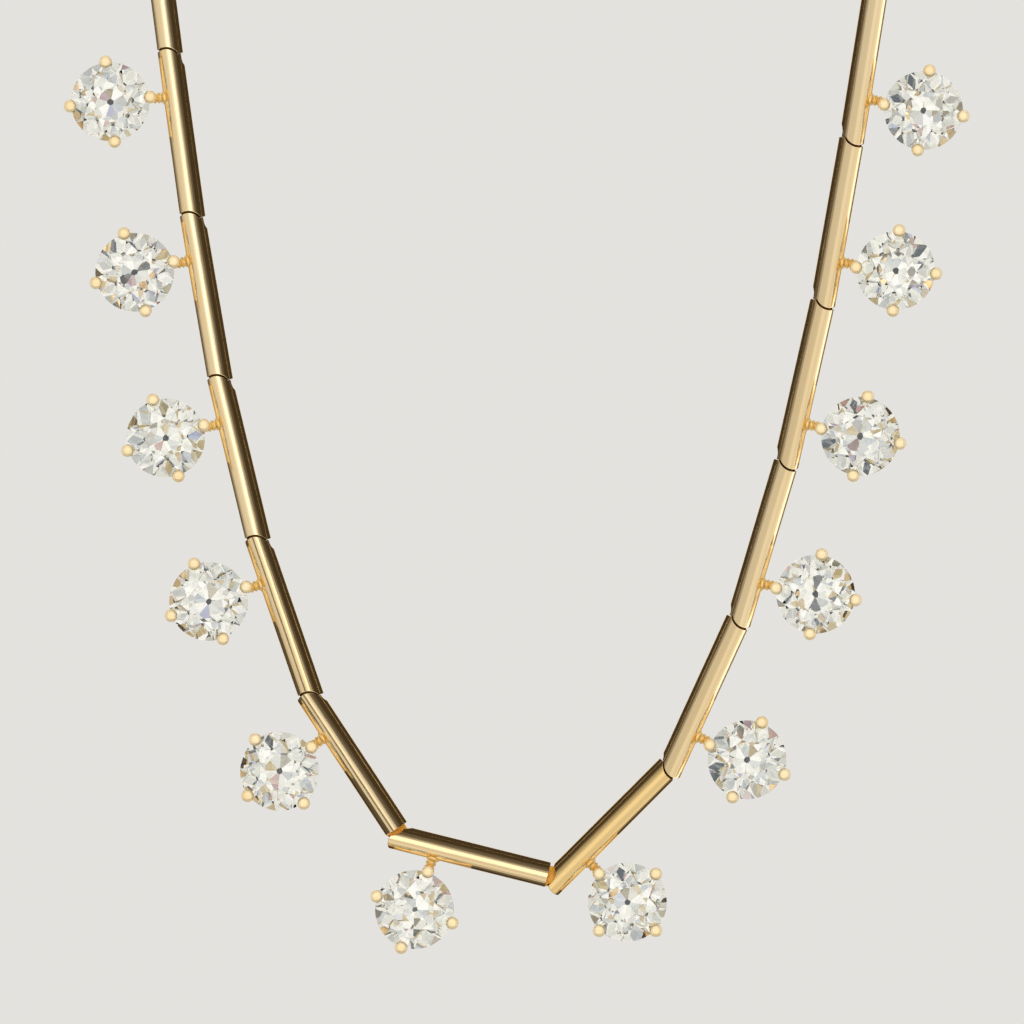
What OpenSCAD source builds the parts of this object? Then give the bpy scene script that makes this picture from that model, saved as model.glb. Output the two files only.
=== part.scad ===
// Diamond station necklace: hinged gold tube links in one hanging loop, twelve of them with a
// round diamond on a short stem. Millimetres, X to the right, Z up, the stones face -Y.
// The origin is the point at the top of the loop on which it hangs.

/* [Chain] */
// Distance from one hinge to the next
pitch = 12.5; // [11.5:0.1:14]
// Outside diameter of the tube
tube_d = 1.95; // [1.9:0.01:2.05]
// Wall of the tube
tube_wall = 0.15; // [0.13:0.01:0.16]
// Gap between two links in a closed joint
seam = 0.1; // [0.08:0.01:0.12]
// Plain links between the top of the loop and the stones, on the left
left_plain = 6; // [4:1:7]
// Plain links between the stones and the top of the loop, on the right
right_plain = 5; // [4:1:7]
// Pieces in the arc that closes the loop, with the clasp in the middle
arc_pieces = 9; // [9:2:11]

/* [Hinge] */
// Distance from the nose of a link back to its hinge pin
nose_back = 0.92; // [0.88:0.01:0.96]
// Distance of the hinge pin from the middle of the tube, towards the stones
pin_offset = 0.4; // [0.36:0.01:0.42]
// Diameter of the hinge pin
pin_d = 0.24; // [0.2:0.01:0.26]
// Diameter of the eye's hole
eye_hole_d = 0.36; // [0.34:0.01:0.38]
// Thickness of the tongue that holds the eye
tongue_t = 0.5; // [0.4:0.05:0.6]
// Width of the slot on the inner side of a nose
slot_w = 1.2; // [1:0.05:1.3]
// Depth of the scoop in the nose of a widely bent joint, for each degree of its bend
scoop_per_degree = 0.0085; // [0.007:0.0005:0.01]

/* [Stones] */
// Diameter of a stone across its girdle
stone_d = 5.95; // [5.6:0.05:6.2]
// Width of the table as a share of the stone's diameter
table_share = 0.53; // [0.45:0.01:0.6]
// Height of the crown as a share of the stone's diameter
crown_share = 0.165; // [0.13:0.005:0.18]
// Depth of the pavilion as a share of the stone's diameter
pavilion_share = 0.435; // [0.4:0.005:0.45]
// Width of the open culet as a share of the stone's diameter
culet_share = 0.075; // [0.04:0.005:0.12]

/* [Settings] */
// Distance of the stem from the hinge pin of its link, along the link
stem_along = 2.69; // [2.2:0.05:4.5]
// Distance from the tube's surface to the middle of the stone
stone_reach = 4.03; // [3.9:0.01:4.4]
// Height of the girdle in front of the middle of the tube
girdle_front = 0.7; // [0.5:0.05:0.9]
// Diameter of the stem
stem_d = 0.66; // [0.5:0.02:0.8]
// Diameter of a claw's wire
claw_d = 0.8; // [0.7:0.02:0.9]
// Diameter of the round tip of a claw
claw_tip_d = 0.92; // [0.86:0.02:1]

/* [Hidden] */
$fn = 48;

// Columns of the station table
DIRECTION = 0;
LEAN = 1;
TURN = 2;
// One row for each station link, in the order of the chain: the direction of the link, in degrees
// from straight down towards the right; the lean of its stem along the link; and the turn of its
// claws and stone about the stone's own axis
STATIONS = [
    [7.8, -3, 1.7],
    [9.7, 2.2, 3.6],
    [13.5, 1.3, 3.7],
    [19, -1, 3],
    [33.3, 4, 0],
    [76, -5.5, 0],
    [135, -1.4, 1.4],
    [155.4, -0.4, 3.5],
    [163.4, 5.7, 2.4],
    [167.3, 0, 2.2],
    [170, 1.2, 4.3],
    [170.9, -2.9, 3.5]
];
// A hanging chain of equal links: the downward slope of the sixth station link, and the fall in
// slope from each link to the next
middle_slope = 0.25;
slope_step = 1.25;
middle_station = 5;

// Joints bent by more than this many degrees have a scooped nose and a straight rim against it
wide_bend = 30;
// Turn of the cut of each stone after the one before it
cut_step = 37;

tube_r = tube_d / 2;
bore_r = tube_r - tube_wall;
// How far soldered pieces reach into the wall
solder = 0.03;
pin_length = 1.6;
// Gap between the eye and the bore
eye_play = 0.125;
eye_r = bore_r - pin_offset - eye_play;
// Where the solid root of the tongue ends, measured back from the pin, and its length
root_back = 1.7;
root_length = 1;
// Depth of the tongue below the pin; above, its raised part lies under the skin and reaches a
// little past the nose
tongue_deep = 1.1;
under_skin = 0.1;
past_nose = 0.02;
// The nose is an arc about a point close to the pin, and the rim before it is an arc about the
// same point, so the seam stays even as the joint turns
nose_r = 1.05;
nose_x = nose_r - nose_back;
// How far the inner side of a rim reaches past the nose of the next link
lip = 0.46;
// End of the slot, measured from the pin, and what is added for each degree of a wide bend
slot_end = 0.48;
slot_per_degree = 0.01;
over = 2;
station_count = len(STATIONS);
side_count = left_plain + station_count + right_plain;
piece_count = side_count + arc_pieces;
clasp_index = side_count + (arc_pieces - 1) / 2;

// Direction of a link of the hanging sides, counted from the first station link
function hang_direction(k) =
    k >= 0 && k < station_count ? STATIONS[k][DIRECTION]
    : atan2(1, middle_slope - slope_step * (k - middle_station));

// Unit vector of a direction, in X and Z
function along(a) = [sin(a), -cos(a)];

// Place of the hinge pin after n pieces of a list of directions
function walk(dirs, n) = n == 0 ? [0, 0] : walk(dirs, n - 1) + pitch * along(dirs[n - 1]);

side_dirs = [for (i = [0 : side_count - 1]) hang_direction(i - left_plain)];
side_end = walk(side_dirs, side_count);

// Turn between the pieces of the closing arc, halved down until the arc spans what is open
function arc_span(turn) = sin(arc_pieces * turn / 2) / sin(turn / 2);
function arc_turn(low, high, tries) =
    tries == 0 ? (low + high) / 2
    : arc_span((low + high) / 2) > norm(side_end) / pitch
        ? arc_turn((low + high) / 2, high, tries - 1)
        : arc_turn(low, (low + high) / 2, tries - 1);
turn_each = arc_turn(1, 340 / arc_pieces, 40);
arc_middle = 360 + atan2(-side_end[0], side_end[1]);
arc_dirs = [for (i = [0 : arc_pieces - 1]) arc_middle + (i - (arc_pieces - 1) / 2) * turn_each];
all_dirs = concat(side_dirs, arc_dirs);
pins = [for (i = [0 : piece_count - 1]) walk(all_dirs, i)];

// Bend at the nose of a piece, from the piece before it
function bend(i) = i == 0 ? all_dirs[0] + 360 - all_dirs[piece_count - 1] : all_dirs[i] - all_dirs[i - 1];

// The point on which the loop hangs is the inner side of the clasp, in the middle of its length
clasp_d = 2.8;
clasp_length = 7;
clasp_along = (pitch - nose_back) / 2;
clasp_dir = all_dirs[clasp_index];
function inward(a) = [cos(a), sin(a)];
hang_point = pins[clasp_index] + clasp_along * along(clasp_dir)
    + (pin_offset + clasp_d / 2) * inward(clasp_dir);

function two(n) = n < 10 ? str("0", n) : str(n);

// Puts a piece of the loop in its place: its local X runs along the link from its own pin, its
// local Z points to the outer side of the loop and its local Y to the front
module in_place(i) {
    translate([pins[i][0] - hang_point[0], 0, pins[i][1] - hang_point[1]])
        rotate([0, 90 - all_dirs[i], 0])
            rotate([180, 0, 0])
                children();
}

// Stands an outline, drawn in X and Z, across the whole width of a tube
module across(width) {
    rotate([90, 0, 0])
        linear_extrude(height = width, center = true)
            children();
}

// A round bar along the middle of the tube
module bar(d, from, to) {
    translate([from, 0, -pin_offset])
        rotate([0, 90, 0])
            cylinder(d = d, h = to - from);
}

// What is taken off a tube to leave its round nose, with room for the rim of the bent link
// before it; a widely bent joint is scooped out between the two
module nose_cut(angle) {
    wide = angle > wide_bend;
    across(3 * tube_d) {
        difference() {
            rotate(wide ? 0 : angle)
                translate([-nose_back - over, -2 * tube_d])
                    square([over + lip + seam, 4 * tube_d]);
            translate([nose_x, 0])
                circle(r = nose_r);
        }
        if (wide)
            rotate(angle)
                translate([-4 * tube_d, -pin_offset - tube_r - seam])
                    square([4 * tube_d - nose_back, tube_d + 2 * seam]);
    }
    if (wide)
        rotate([0, -angle, 0])
            across(3 * tube_d)
                translate([scoop_per_degree * angle - nose_back - seam - tube_r, -pin_offset])
                    circle(r = tube_r);
}

// The slot with a round end on the inner side of the nose, longer for a widely bent joint
module slot_cut(angle) {
    end = slot_end + slot_per_degree * max(0, angle - wide_bend);
    translate([-nose_back - over, -slot_w / 2, -pin_offset - 2 * tube_r])
        cube([over + nose_back + end - slot_w / 2, slot_w, 1.5 * tube_r]);
    translate([end - slot_w / 2, 0, -pin_offset - 2 * tube_r])
        cylinder(d = slot_w, h = 1.5 * tube_r);
}

// What is taken off the far end of a tube: a hollow round rim, or a straight one
module rim_cut(next_angle) {
    if (next_angle > wide_bend)
        across(3 * tube_d)
            translate([pitch - nose_back - seam, -2 * tube_d])
                square([over, 4 * tube_d]);
    else
        across(3 * tube_d)
            translate([pitch + nose_x, 0])
                circle(r = nose_r + seam);
}

// The tube of piece i with its nose, its rim and its bore
module tube(i) {
    difference() {
        bar(tube_d, -nose_back, pitch - nose_back + lip);
        bar(2 * bore_r, -over, pitch + over);
        nose_cut(bend(i));
        slot_cut(bend(i));
        rim_cut(bend((i + 1) % piece_count));
    }
}

// The hinge pin, soldered into the wall at both ends
module pin() {
    rotate([90, 0, 0])
        cylinder(d = pin_d, h = pin_length, center = true);
}

// The tongue inside the far end, whose eye turns on the pin of the next link; it stands deep
// enough in the tube to close the view through the seam, and its root fills the bore
module tongue() {
    translate([pitch, 0, 0])
        across(tongue_t)
            difference() {
                union() {
                    circle(r = eye_r);
                    translate([-root_back, -tongue_deep])
                        square([root_back, tongue_deep + eye_r]);
                    translate([-root_back, 0])
                        square([root_back - nose_back + past_nose, tube_r - pin_offset - under_skin]);
                }
                circle(d = eye_hole_d);
                translate([0, -tongue_deep])
                    rotate(45)
                        square(tongue_deep - eye_r, center = true);
            }
    bar(2 * (bore_r + solder), pitch - root_back - root_length, pitch - root_back);
}

// One whole plain link
module plain_link(i) {
    tube(i);
    pin();
    tongue();
}

// Heights and radii of the stone, and the gap around it in its setting; the tips of the stars and
// of the lower halves lie between the corners of the table, half way round
girdle_h = 0.03 * stone_d;
crown_h = crown_share * stone_d;
pavilion_h = pavilion_share * stone_d;
table_r = table_share * stone_d / 2;
culet_r = culet_share * stone_d / 2;
seat_gap = 0.04;
half = 22.5;
crown_slope = crown_h / (stone_d / 2 - table_r);
pavilion_slope = pavilion_h / (stone_d / 2 - culet_r);
star_share = 0.45;
star_r = table_r + star_share * (stone_d / 2 - table_r);
star_z = girdle_h / 2 + crown_h - (star_r * cos(half) - table_r) * crown_slope;
lower_share = 0.42;
lower_r = lower_share * stone_d / 2;
lower_z = -girdle_h / 2 - (stone_d / 2 - lower_r * cos(half)) * pavilion_slope;

// Room for the stone in its setting
module seat() {
    g = seat_gap;
    bottom = -girdle_h / 2 - pavilion_h - g;
    top = girdle_h / 2 + crown_h + g;
    rotate_extrude()
        polygon([
            [0, bottom],
            [culet_r / cos(half) + g, bottom],
            [lower_r + g, lower_z - g],
            [stone_d / 2 + g, -girdle_h / 2 - g],
            [stone_d / 2 + g, girdle_h / 2 + g],
            [star_r + g, star_z + g],
            [table_r + g, top],
            [0, top]
        ]);
}

// Rings of the setting, as distance from the axis and height above the girdle
upper_ring = [2.25, -0.95];
lower_ring = [1.45, -2.2];
ring_wire = 0.5;
// Claws: distance from the stone's axis, height of the knee and of the round tip, what the knee
// is rounder than the wire, and how far the tip leans in
claw_r = stone_d / 2 + 0.08;
claw_knee = -0.3;
claw_top = 0.46;
knee_swell = 0.03;
tip_lean = 0.03;

module ring(place, wire) {
    translate([0, 0, place[1]])
        rotate_extrude()
            translate([place[0], 0])
                circle(d = wire);
}

// One claw, which rises from the lower ring and bends over the edge of the stone
module claw() {
    rise = claw_knee - lower_ring[1];
    run = claw_r - lower_ring[0];
    translate([lower_ring[0], 0, lower_ring[1]])
        rotate([0, atan2(run, rise), 0])
            cylinder(d = claw_d, h = norm([run, rise]));
    translate([claw_r, 0, claw_knee])
        sphere(d = claw_d + knee_swell);
    translate([claw_r, 0, claw_knee])
        cylinder(d = claw_d, h = claw_top - claw_knee);
    translate([claw_r - tip_lean, 0, claw_top])
        sphere(d = claw_tip_d);
}

// The four claws and two rings of a setting, its axis along Z
module setting() {
    difference() {
        union() {
            ring(upper_ring, ring_wire);
            ring(lower_ring, ring_wire);
            for (quarter = [0 : 3])
                rotate([0, 0, 90 * quarter])
                    claw();
        }
        seat();
    }
}

// The stem: depth, flare, rim and rise of its foot, heights of its two beads, their wire and how
// far they sink into it, and how far its neck reaches into the claw
foot_deep = 0.3;
foot_flare = 0.22;
foot_rim = 0.02;
foot_rise = 0.2;
bead_heights = [0.36, 0.66];
bead_wire = 0.26;
bead_sink = 0.06;
neck_deep = 0.1;

// The turned stem: a flared foot on the tube, two beads and the neck that meets the claw
module stem() {
    r = stem_d / 2;
    length = stone_reach - claw_r + neck_deep;
    rotate_extrude()
        polygon([
            [0, -foot_deep],
            [r + foot_flare, -foot_deep],
            [r + foot_flare, foot_rim],
            [r, foot_rise],
            [r, length],
            [0, length]
        ]);
    for (height = bead_heights)
        translate([0, 0, height])
            rotate_extrude()
                translate([r - bead_sink, 0])
                    circle(d = bead_wire, $fn = 24);
}

// Carries its children from the link to the middle of the stone's girdle, axis to the front
module at_stone(k) {
    translate([stem_along, 0, tube_r - pin_offset])
        rotate([0, STATIONS[k][LEAN], 0])
            translate([0, girdle_front, stone_reach])
                rotate([-90, 0, 0])
                    rotate([0, 0, STATIONS[k][TURN]])
                        children();
}

// One station link: a plain link with its stem and setting soldered on
module station_link(k) {
    plain_link(left_plain + k);
    difference() {
        translate([stem_along, 0, tube_r - pin_offset])
            rotate([0, STATIONS[k][LEAN], 0])
                stem();
        bar(2 * (bore_r + solder), 0, pitch);
    }
    at_stone(k) setting();
}

// Points of the stone: the table and the culet have 8 corners, the girdle has 16
function corner(r, a, z) = [r * cos(a), r * sin(a), z];
STONE_POINTS = concat(
    [for (i = [0 : 7]) corner(table_r, 45 * i, girdle_h / 2 + crown_h)],
    [for (i = [0 : 7]) corner(star_r, 45 * i + half, star_z)],
    [for (i = [0 : 15]) corner(stone_d / 2, half * i, girdle_h / 2)],
    [for (i = [0 : 15]) corner(stone_d / 2, half * i, -girdle_h / 2)],
    [for (i = [0 : 7]) corner(lower_r, 45 * i + half, lower_z)],
    [for (i = [0 : 7]) corner(culet_r / cos(half), 45 * i + half, -girdle_h / 2 - pavilion_h)]
);
TABLE = 0;
STAR = 8;
UPPER = 16;
LOWER = 32;
DEEP = 48;
CULET = 56;
// Facets, each seen clockwise from outside: eight kites, stars and pavilion mains, sixteen
// halves above and below the girdle, the girdle's band, the table and the culet
STONE_FACETS = concat(
    [[for (i = [7 : -1 : 0]) TABLE + i]],
    [[for (i = [0 : 7]) CULET + i]],
    [for (i = [0 : 7]) [TABLE + i, TABLE + (i + 1) % 8, STAR + i]],
    [for (i = [0 : 7]) [TABLE + i, STAR + i, UPPER + 2 * i, STAR + (i + 7) % 8]],
    [for (i = [0 : 7]) [STAR + i, UPPER + 2 * i + 1, UPPER + 2 * i]],
    [for (i = [0 : 7]) [STAR + i, UPPER + (2 * i + 2) % 16, UPPER + 2 * i + 1]],
    [for (i = [0 : 15]) [UPPER + i, UPPER + (i + 1) % 16, LOWER + (i + 1) % 16, LOWER + i]],
    [for (i = [0 : 7]) [LOWER + 2 * i, LOWER + 2 * i + 1, DEEP + i]],
    [for (i = [0 : 7]) [LOWER + 2 * i + 1, LOWER + (2 * i + 2) % 16, DEEP + i]],
    [for (i = [0 : 7])
        [LOWER + 2 * i, DEEP + i, CULET + i, CULET + (i + 7) % 8, DEEP + (i + 7) % 8]]
);

// One old European cut stone, its table towards +Z
module stone(k) {
    rotate([0, 0, cut_step * k])
        polyhedron(points = STONE_POINTS, faces = STONE_FACETS, convexity = 2);
}

// The clasp: a plain barrel on a plain link
module clasp_piece() {
    plain_link(clasp_index);
    difference() {
        bar(clasp_d, clasp_along - clasp_length / 2, clasp_along + clasp_length / 2);
        bar(2 * bore_r, -over, pitch + over);
    }
}

// Place in the loop of a plain link, counted from one
function plain_index(n) =
    n <= left_plain ? n - 1
    : n <= left_plain + right_plain + (arc_pieces - 1) / 2 ? n - 1 + station_count
    : n + station_count;

module station_node(k) {
    color("goldenrod") in_place(left_plain + k) station_link(k);
}

module stone_node(k) {
    color("aliceblue") in_place(left_plain + k) at_stone(k) stone(k);
}

module plain_node(n) {
    color("goldenrod") in_place(plain_index(n)) plain_link(plain_index(n));
}

module clasp() {
    color("darkgoldenrod") in_place(clasp_index) clasp_piece();
}

for (i = [1 : station_count])
    station_node(i - 1);
for (i = [1 : station_count])
    stone_node(i - 1);
for (i = [1 : left_plain + right_plain + arc_pieces - 1])
    plain_node(i);
clasp();
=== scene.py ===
import logging
import math
from dataclasses import dataclass, field, replace
from enum import Enum

import bmesh
import bpy
import numpy as np
from mathutils import Matrix, Vector
from numpy.typing import NDArray


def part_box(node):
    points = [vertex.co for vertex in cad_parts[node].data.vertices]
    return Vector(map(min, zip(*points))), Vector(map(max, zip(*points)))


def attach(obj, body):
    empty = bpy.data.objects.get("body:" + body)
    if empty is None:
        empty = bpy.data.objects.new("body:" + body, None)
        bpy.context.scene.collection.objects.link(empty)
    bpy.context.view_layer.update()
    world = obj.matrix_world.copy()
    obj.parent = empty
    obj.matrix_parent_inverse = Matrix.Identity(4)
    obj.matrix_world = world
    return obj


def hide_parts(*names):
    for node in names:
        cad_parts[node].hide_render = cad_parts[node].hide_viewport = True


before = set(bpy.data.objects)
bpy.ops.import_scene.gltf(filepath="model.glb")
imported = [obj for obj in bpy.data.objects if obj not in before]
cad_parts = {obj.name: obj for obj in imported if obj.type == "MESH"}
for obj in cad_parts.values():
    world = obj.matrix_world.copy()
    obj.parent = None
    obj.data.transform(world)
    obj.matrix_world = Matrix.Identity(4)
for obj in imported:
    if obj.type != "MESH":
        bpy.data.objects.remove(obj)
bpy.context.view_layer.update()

MM = 0.001
log = logging.getLogger("necklace")
Points = NDArray[np.float64]
Faces = list[tuple[int, ...]]
Pair = tuple[float, float]


class Part(Enum):
    """Which finish a face of a gold piece has; the value is its material slot."""

    TUBE = 0
    SETTING = 1
    JOINT = 2
    SEAM = 3
    STEM = 4


class Group(Enum):
    """Pieces that the same lights fall on: stretches of the loop, some of them together, the
    settings and the stones."""

    LEFT = "left"
    FOURTH = "fourth"
    FIFTH = "fifth"
    FOOT_LEFT = "foot_left"
    FOOT_RIGHT = "foot_right"
    RIGHT = "right"
    ARC = "arc"
    UPRIGHT = "upright"
    FEET = "feet"
    SETTINGS = "settings"
    STONES = "stones"


@dataclass(frozen=True)
class ChainSizes:
    """Sizes of the tube links, their hinges and the clasp, in millimetres and degrees."""

    pitch: float = 12.5  # from hinge to hinge
    tube_r: float = 0.975
    wall: float = 0.15
    seam: float = 0.1  # width of a closed seam
    left_plain: int = 6
    right_plain: int = 5
    arc_pieces: int = 9
    nose_back: float = 0.92  # from the pin back to the nose's end
    nose_r: float = 1.05
    lip: float = 0.46  # length of the nose's curve along the link
    pin_offset: float = 0.4  # from the tube's axis out to the pin
    pin_r: float = 0.12
    pin_half: float = 0.8
    pin_edge: float = 0.02
    eye_wall: float = 0.125  # from the eye to the bore's wall
    tongue_half: float = 0.25
    tongue_deep: float = 1.1
    tongue_root: float = 0.3  # how far the tongue stands in the metal behind the bore
    tongue_gap: float = 0.1
    bore_deep: float = 4.0  # from the pin to the end of the nose's bore
    root_back: float = 1.7  # from the next pin back to the end of the far bore
    slot_w: float = 1.2
    slot_end: float = 0.48
    slot_per_degree: float = 0.01  # growth of the slot with the bend
    scoop_per_degree: float = 0.0085
    wide_bend: float = 30.0  # past this bend a joint is open
    edge: float = 0.045  # radius of the rounded rims
    trim: float = 0.02  # how much shorter the tube is at each end than the solid
    bore_lead: float = 0.3
    crease: float = 0.02  # from a rounded rim to the row of points that keeps it crisp
    clasp_r: float = 1.4
    clasp_length: float = 7.0
    clasp_edge: float = 0.22
    marks_along: float = 0.03  # share of the length in the drawing coordinates: the marks run long
    marks_step: float = 7.3  # how far the marks move on from one piece to the next

    @property
    def bore_r(self) -> float:
        """Radius of the tube's bore."""
        return self.tube_r - self.wall

    @property
    def nose_x(self) -> float:
        """Place of the nose arc's centre along the link."""
        return self.nose_r - self.nose_back

    @property
    def eye_r(self) -> float:
        """Radius of the eye."""
        return self.bore_r - self.pin_offset - self.eye_wall

    def drawn(self, points: Points) -> Points:
        """Coordinates for the drawing marks: round the tube as they are, and short along it."""
        return points * np.array([self.marks_along, 1.0, 1.0])


@dataclass(frozen=True)
class StoneSizes:
    """Sizes of a round stone, in millimetres; the shares are of its width or radius."""

    d: float = 5.95
    table_share: float = 0.53
    crown_share: float = 0.165
    pavilion_share: float = 0.435
    girdle_share: float = 0.015
    culet_share: float = 0.075
    star_share: float = 0.45
    lower_share: float = 0.42
    table_play: float = 0.03  # most that the table's share differs from stone to stone
    facet_lean: float = 0.009  # usual lean of a facet off its true plane
    facet_inset: float = 0.012  # usual depth of a facet below its true plane
    blank_sides: int = 144
    gap: float = 0.03  # room between stone and metal

    @property
    def r(self) -> float:
        """Radius of the girdle."""
        return self.d / 2

    @property
    def girdle_half(self) -> float:
        """Half the height of the girdle's band."""
        return self.girdle_share * self.d

    @property
    def crown_slope(self) -> float:
        """Rise of the crown over its run."""
        return self.crown_share * self.d / (self.r - self.table_share * self.r)

    @property
    def pavilion_slope(self) -> float:
        """Depth of the pavilion over its run."""
        return self.pavilion_share * self.d / (self.r - self.culet_share * self.r)


@dataclass(frozen=True)
class SettingSizes:
    """Sizes of a stem and its four-claw setting, in millimetres."""

    stem_along: float = 2.69  # from the pin along the tube
    stone_reach: float = 4.03  # from the tube to the stone's middle
    girdle_front: float = 0.7
    stem_r: float = 0.33
    stem_in: float = 0.2  # how far the stem stands in the tube
    neck_in: float = 0.1  # how far its neck runs past the claw's middle
    flare: Pair = (0.22, 0.09)  # widening at the foot, and the height in which it fades
    bead: Pair = (0.085, 0.075)  # swell of a bead, and its half height
    bead_heights: Pair = (0.36, 0.66)
    waist: Pair = (-0.035, 0.06)
    upper_ring: Pair = (2.25, -0.95)  # radius and height
    lower_ring: Pair = (1.45, -2.2)
    ring_r: float = 0.25
    claw_foot: tuple[Pair, ...] = ((2.0, -1.57), (2.6, -0.88), (2.96, -0.42))  # out and up
    claw_out: float = 3.055
    claw_head: tuple[Pair, ...] = ((0.0, -0.1), (0.01, 0.2), (-0.03, 0.46))  # past claw_out, up
    claw_radii: tuple[float, float, float] = (0.36, 0.4, 0.485)  # at the foot, below and at the tip
    claw_swell: float = 0.72  # share of the claw's length after which it swells to the tip
    dome: float = 0.72  # height of the claw's round end, as a share of its radius


@dataclass(frozen=True)
class Station:
    """One station link, in degrees: its direction, from straight down towards the right, the lean
    of its stem along the link, the turn of its claws, and the turn and tilt of its stone."""

    direction: float
    lean: float
    turn: float
    cut: float
    tilt: Pair


STATIONS = (
    Station(7.8, -3.0, 1.7, 0.0, (0.5, -0.8)),
    Station(9.7, 2.2, 3.6, 17.0, (-0.6, 0.9)),
    Station(13.5, 1.3, 3.7, 31.0, (0.9, 0.3)),
    Station(19.0, -1.0, 3.0, 9.0, (-0.9, -0.5)),
    Station(33.3, 4.0, 0.0, 26.0, (0.2, 1.0)),
    Station(76.0, -5.5, 0.0, 40.0, (0.8, -0.4)),
    Station(135.0, -1.4, 1.4, 13.0, (-0.3, -0.9)),
    Station(155.4, -0.4, 3.5, 35.0, (0.6, 0.7)),
    Station(163.4, 5.7, 2.4, 5.0, (-1.0, 0.2)),
    Station(167.3, 0.0, 2.2, 22.0, (0.3, -0.6)),
    Station(170.0, 1.2, 4.3, 44.0, (-0.5, 0.8)),
    Station(170.9, -2.9, 3.5, 29.0, (0.9, -0.2)),
)


def srgb(code: str) -> tuple[float, float, float, float]:
    """Linear colour of an sRGB hex code.

    Args:
        code: Six hex digits with a leading hash.

    Returns:
        Red, green and blue, linear, and a full alpha.
    """
    parts = np.array([int(code[i : i + 2], 16) for i in (1, 3, 5)]) / 255.0
    linear = np.where(parts <= 0.04045, parts / 12.92, ((parts + 0.055) / 1.055) ** 2.4)
    return (float(linear[0]), float(linear[1]), float(linear[2]), 1.0)


def add_node(tree: bpy.types.NodeTree, kind: str, **values: object) -> bpy.types.Node:
    """Adds a node with its settings and links.

    Args:
        tree: The node tree.
        kind: The node's Blender type name.
        values: Property names, or input names with spaces written as underscores; a socket is
            linked to its input, and anything else is the input's or the property's own value.

    Returns:
        The new node.
    """
    node = tree.nodes.new(kind)
    for name, value in values.items():
        label = name.replace("_", " ")
        if isinstance(value, bpy.types.NodeSocket):
            tree.links.new(value, node.inputs[label])
        elif label in node.inputs:
            node.inputs[label].default_value = value
        else:
            setattr(node, name, value)
    return node


def new_material(name: str) -> tuple[bpy.types.Material, bpy.types.NodeTree]:
    """A material without nodes, and its node tree."""
    material = bpy.data.materials.new(name)
    material.use_nodes = True
    material.node_tree.nodes.clear()
    return material, material.node_tree


def add_object(name: str, data: bpy.types.ID) -> bpy.types.Object:
    """Adds an object at the origin for a mesh, a light or a camera."""
    added = bpy.data.objects.new(name, data)
    bpy.context.scene.collection.objects.link(added)
    return added


@dataclass
class Patch:
    """A piece of surface: its points, faces and finish, the drawing coordinates of its points
    (round the tube and along it), and the finish of each face where they differ."""

    points: Points
    faces: Faces
    part: Part
    drawn: Points
    each: list[int] = field(default_factory=list)


def join(patches: list[Patch]) -> tuple[Points, Faces, list[int], Points]:
    """Puts patches into one list of points and faces.

    Args:
        patches: The patches.

    Returns:
        Points, faces, the material index of each face and the drawing coordinates.
    """
    faces: Faces = []
    finish: list[int] = []
    base = 0
    for patch in patches:
        faces += [tuple(corner + base for corner in face) for face in patch.faces]
        finish += patch.each or [patch.part.value] * len(patch.faces)
        base += len(patch.points)
    points = np.concatenate([patch.points for patch in patches])
    drawn = np.concatenate([patch.drawn for patch in patches])
    return points, faces, finish, drawn


def xyz(x: Points | float, y: Points | float, z: Points | float) -> Points:
    """Points from their X, Y and Z, each an array or one value for all."""
    return np.stack(np.broadcast_arrays(x, y, z), axis=-1)


def full_turn(steps: int) -> Points:
    """Angles in equal steps round a full turn, in radians."""
    return np.linspace(0, 2 * math.pi, steps, endpoint=False)


def grid_faces(rows: int, columns: int) -> Faces:
    """Quads of a grid whose columns run round and close on themselves.

    Args:
        rows: Number of rows of points.
        columns: Number of points in each row.

    Returns:
        One tuple of four point numbers for each face.
    """
    row, column = np.meshgrid(np.arange(rows - 1), np.arange(columns), indexing="ij")
    here = row * columns + column
    right = row * columns + (column + 1) % columns
    quads = np.stack([here, right, right + columns, here + columns], axis=-1)
    return [tuple(quad) for quad in quads.reshape(-1, 4).tolist()]


def cap_faces(start: int, columns: int, pole: int, flip: bool) -> Faces:
    """Triangles that close a ring of points at a pole.

    Args:
        start: Number of the ring's first point.
        columns: Number of points in the ring.
        pole: Number of the pole's point.
        flip: Whether the triangles turn the other way.

    Returns:
        One tuple of three point numbers for each triangle.
    """
    ring = [(start + i, start + (i + 1) % columns) for i in range(columns)]
    return [(b, a, pole) if flip else (a, b, pole) for a, b in ring]


def capped(rings: Points, poles: list[list[float]], part: Part, flip: bool = True) -> Patch:
    """A closed surface through rings of points, with a pole at each end.

    Args:
        rings: The points, by ring and by place in the ring.
        poles: The two poles.
        part: The finish.
        flip: Whether the rings turn so that their faces have to be turned round.

    Returns:
        The patch.
    """
    rows, columns = rings.shape[:2]
    count = rows * columns
    quads = grid_faces(rows, columns)
    faces = [tuple(reversed(quad)) for quad in quads] if flip else quads
    faces += cap_faces(0, columns, count, not flip)
    faces += cap_faces(count - columns, columns, count + 1, flip)
    points = np.concatenate([rings.reshape(-1, 3), poles])
    return Patch(points, faces, part, points)


def revolved(profile: list[Pair], part: Part, sides: int) -> Patch:
    """A closed surface of revolution about Z.

    Each profile point (r, z) becomes the ring (r cos a, r sin a, z) for a from 0 to 360 degrees;
    a point centre closes both ends.

    Args:
        profile: Radius and height from the bottom to the top; the ends may have a radius.
        part: The finish.
        sides: Points in each ring.

    Returns:
        The patch.
    """
    r, z = np.array(profile).T[:, :, None]
    a = full_turn(sides)
    poles = [[0, 0, float(z[0, 0])], [0, 0, float(z[-1, 0])]]
    return capped(xyz(r * np.cos(a), r * np.sin(a), z), poles, part, flip=False)


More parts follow.
